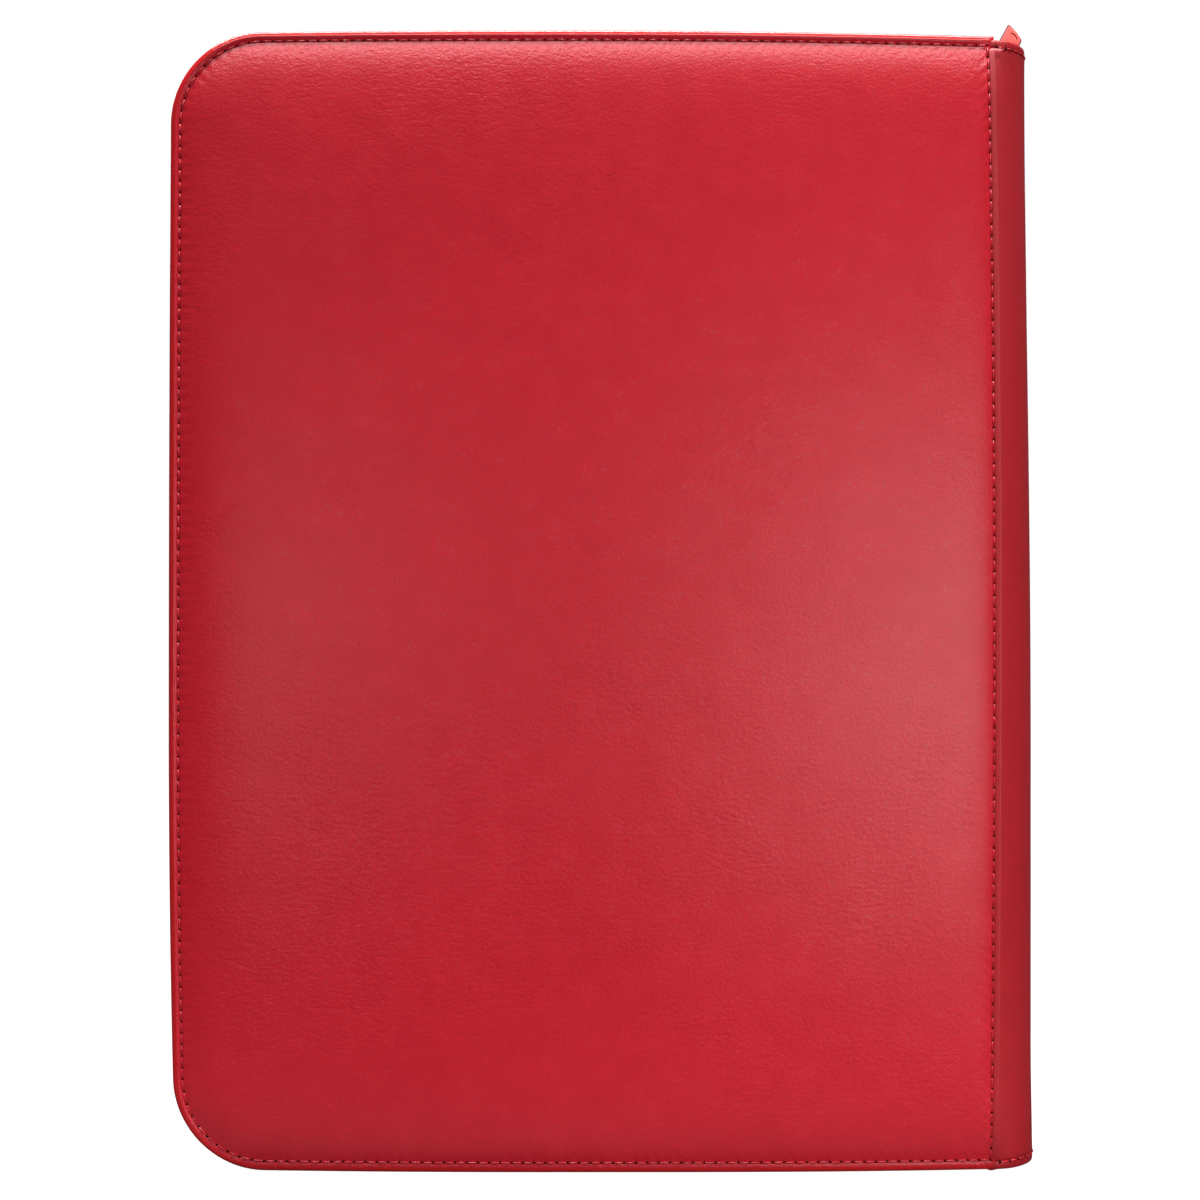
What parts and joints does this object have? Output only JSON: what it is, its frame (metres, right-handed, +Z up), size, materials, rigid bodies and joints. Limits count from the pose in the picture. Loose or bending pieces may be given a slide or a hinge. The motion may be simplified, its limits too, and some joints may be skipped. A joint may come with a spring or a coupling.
{
  "type": "trading card binder",
  "caption": "Zip-around padded leatherette binder for trading cards, with folding spine, nine-pocket pages and a zip slider.",
  "frame": {"origin": "middle of the closed binder's footprint, at the height of its bottom edge", "axes": "+Z up along the covers' height, +X from the rounded free edge to the spine, +Y from the back cover to the front cover"},
  "size_m": [0.258, 0.038, 0.3454],
  "materials": {
    "leatherette": "satin",
    "foam": "matte",
    "board": "matte",
    "lining": "matte",
    "binding": "matte",
    "zip_tape": "matte",
    "zip_coil": "satin",
    "zip_metal": "polished",
    "page_film": "gloss"
  },
  "bodies": {
    "back_cover": {"back_skin": "leatherette", "back_foam": "foam", "back_board": "board", "back_lining": "lining", "zip_tape_back": "zip_tape", "zip_coil_back": "zip_coil", "zip_stop_top_back": "zip_metal", "zip_stop_bottom_back": "zip_metal"},
    "spine": {"spine_skin": "leatherette", "spine_foam": "foam", "spine_board": "board", "spine_lining": "lining", "page_binding_strip": "binding", "zip_end_tab_top": "leatherette", "zip_end_tab_bottom": "leatherette"},
    "front_cover": {"front_skin": "leatherette", "front_foam": "foam", "front_board": "board", "front_lining": "lining", "zip_tape_front": "zip_tape", "zip_coil_front": "zip_coil", "zip_stop_top_front": "zip_metal", "zip_stop_bottom_front": "zip_metal"},
    "slider": {"zip_slider": "zip_metal"},
    "pull": {"zip_pull": "zip_metal"},
    "page_01": {"page_01": "page_film"},
    "page_02": {"page_02": "page_film"},
    "page_03": {"page_03": "page_film"},
    "page_04": {"page_04": "page_film"},
    "page_05": {"page_05": "page_film"},
    "page_06": {"page_06": "page_film"},
    "page_07": {"page_07": "page_film"},
    "page_08": {"page_08": "page_film"},
    "page_09": {"page_09": "page_film"},
    "page_10": {"page_10": "page_film"},
    "page_11": {"page_11": "page_film"},
    "page_12": {"page_12": "page_film"},
    "page_13": {"page_13": "page_film"},
    "page_14": {"page_14": "page_film"},
    "page_15": {"page_15": "page_film"},
    "page_16": {"page_16": "page_film"},
    "page_17": {"page_17": "page_film"},
    "page_18": {"page_18": "page_film"},
    "page_19": {"page_19": "page_film"},
    "page_20": {"page_20": "page_film"}
  },
  "joints": [
    {"name": "spine_fold", "type": "hinge", "parent": "back_cover", "child": "spine", "pos_m": [0.118, -0.0186, 0.17], "axis": [0, 0, -1], "range_deg": [0, 90]},
    {"name": "cover_fold", "type": "hinge", "parent": "spine", "child": "front_cover", "pos_m": [0.118, 0.0186, 0.17], "axis": [0, 0, -1], "range_deg": [0, 90]},
    {"name": "zip_slide", "type": "slide", "parent": "back_cover", "child": "slider", "axis": [-1, 0, 0], "range_m": [0, 0.19]},
    {"name": "pull_swing", "type": "hinge", "parent": "slider", "child": "pull", "pos_m": [0.097, 0, 0.33895], "axis": [0, 1, 0], "range_deg": [0, 120]},
    {"name": "page_01_turn", "type": "hinge", "parent": "spine", "child": "page_01", "pos_m": [0.1092, -0.01188, 0.17], "axis": [0, 0, 1], "range_deg": [0, 60.05]},
    {"name": "page_02_turn", "type": "hinge", "parent": "spine", "child": "page_02", "pos_m": [0.1092, -0.01063, 0.17], "axis": [0, 0, 1], "range_deg": [0, 54.05]},
    {"name": "page_03_turn", "type": "hinge", "parent": "spine", "child": "page_03", "pos_m": [0.1092, -0.00937, 0.17], "axis": [0, 0, 1], "range_deg": [0, 48.05]},
    {"name": "page_04_turn", "type": "hinge", "parent": "spine", "child": "page_04", "pos_m": [0.1092, -0.00813, 0.17], "axis": [0, 0, 1], "range_deg": [0, 42.05]},
    {"name": "page_05_turn", "type": "hinge", "parent": "spine", "child": "page_05", "pos_m": [0.1092, -0.00688, 0.17], "axis": [0, 0, 1], "range_deg": [0, 36.05]},
    {"name": "page_06_turn", "type": "hinge", "parent": "spine", "child": "page_06", "pos_m": [0.1092, -0.00562, 0.17], "axis": [0, 0, 1], "range_deg": [0, 30.05]},
    {"name": "page_07_turn", "type": "hinge", "parent": "spine", "child": "page_07", "pos_m": [0.1092, -0.00438, 0.17], "axis": [0, 0, 1], "range_deg": [0, 24.05]},
    {"name": "page_08_turn", "type": "hinge", "parent": "spine", "child": "page_08", "pos_m": [0.1092, -0.00313, 0.17], "axis": [0, 0, 1], "range_deg": [0, 18.05]},
    {"name": "page_09_turn", "type": "hinge", "parent": "spine", "child": "page_09", "pos_m": [0.1092, -0.00187, 0.17], "axis": [0, 0, 1], "range_deg": [0, 12.05]},
    {"name": "page_10_turn", "type": "hinge", "parent": "spine", "child": "page_10", "pos_m": [0.1092, -0.00063, 0.17], "axis": [0, 0, 1], "range_deg": [0, 6.05]},
    {"name": "page_11_turn", "type": "hinge", "parent": "spine", "child": "page_11", "pos_m": [0.1092, 0.00063, 0.17], "axis": [0, 0, -1], "range_deg": [0, 6.05]},
    {"name": "page_12_turn", "type": "hinge", "parent": "spine", "child": "page_12", "pos_m": [0.1092, 0.00187, 0.17], "axis": [0, 0, -1], "range_deg": [0, 12.05]},
    {"name": "page_13_turn", "type": "hinge", "parent": "spine", "child": "page_13", "pos_m": [0.1092, 0.00313, 0.17], "axis": [0, 0, -1], "range_deg": [0, 18.05]},
    {"name": "page_14_turn", "type": "hinge", "parent": "spine", "child": "page_14", "pos_m": [0.1092, 0.00438, 0.17], "axis": [0, 0, -1], "range_deg": [0, 24.05]},
    {"name": "page_15_turn", "type": "hinge", "parent": "spine", "child": "page_15", "pos_m": [0.1092, 0.00562, 0.17], "axis": [0, 0, -1], "range_deg": [0, 30.05]},
    {"name": "page_16_turn", "type": "hinge", "parent": "spine", "child": "page_16", "pos_m": [0.1092, 0.00688, 0.17], "axis": [0, 0, -1], "range_deg": [0, 36.05]},
    {"name": "page_17_turn", "type": "hinge", "parent": "spine", "child": "page_17", "pos_m": [0.1092, 0.00813, 0.17], "axis": [0, 0, -1], "range_deg": [0, 42.05]},
    {"name": "page_18_turn", "type": "hinge", "parent": "spine", "child": "page_18", "pos_m": [0.1092, 0.00937, 0.17], "axis": [0, 0, -1], "range_deg": [0, 48.05]},
    {"name": "page_19_turn", "type": "hinge", "parent": "spine", "child": "page_19", "pos_m": [0.1092, 0.01063, 0.17], "axis": [0, 0, -1], "range_deg": [0, 54.05]},
    {"name": "page_20_turn", "type": "hinge", "parent": "spine", "child": "page_20", "pos_m": [0.1092, 0.01188, 0.17], "axis": [0, 0, -1], "range_deg": [0, 60.05]}
  ],
  "couplings": [
    {"joint": "page_01_turn", "follows": "spine_fold", "ratio": 0.66667},
    {"joint": "page_02_turn", "follows": "spine_fold", "ratio": 0.6},
    {"joint": "page_03_turn", "follows": "spine_fold", "ratio": 0.53333},
    {"joint": "page_04_turn", "follows": "spine_fold", "ratio": 0.46667},
    {"joint": "page_05_turn", "follows": "spine_fold", "ratio": 0.4},
    {"joint": "page_06_turn", "follows": "spine_fold", "ratio": 0.33333},
    {"joint": "page_07_turn", "follows": "spine_fold", "ratio": 0.26667},
    {"joint": "page_08_turn", "follows": "spine_fold", "ratio": 0.2},
    {"joint": "page_09_turn", "follows": "spine_fold", "ratio": 0.13333},
    {"joint": "page_10_turn", "follows": "spine_fold", "ratio": 0.066667},
    {"joint": "page_11_turn", "follows": "cover_fold", "ratio": 0.066667},
    {"joint": "page_12_turn", "follows": "cover_fold", "ratio": 0.13333},
    {"joint": "page_13_turn", "follows": "cover_fold", "ratio": 0.2},
    {"joint": "page_14_turn", "follows": "cover_fold", "ratio": 0.26667},
    {"joint": "page_15_turn", "follows": "cover_fold", "ratio": 0.33333},
    {"joint": "page_16_turn", "follows": "cover_fold", "ratio": 0.4},
    {"joint": "page_17_turn", "follows": "cover_fold", "ratio": 0.46667},
    {"joint": "page_18_turn", "follows": "cover_fold", "ratio": 0.53333},
    {"joint": "page_19_turn", "follows": "cover_fold", "ratio": 0.6},
    {"joint": "page_20_turn", "follows": "cover_fold", "ratio": 0.66667}
  ]
}
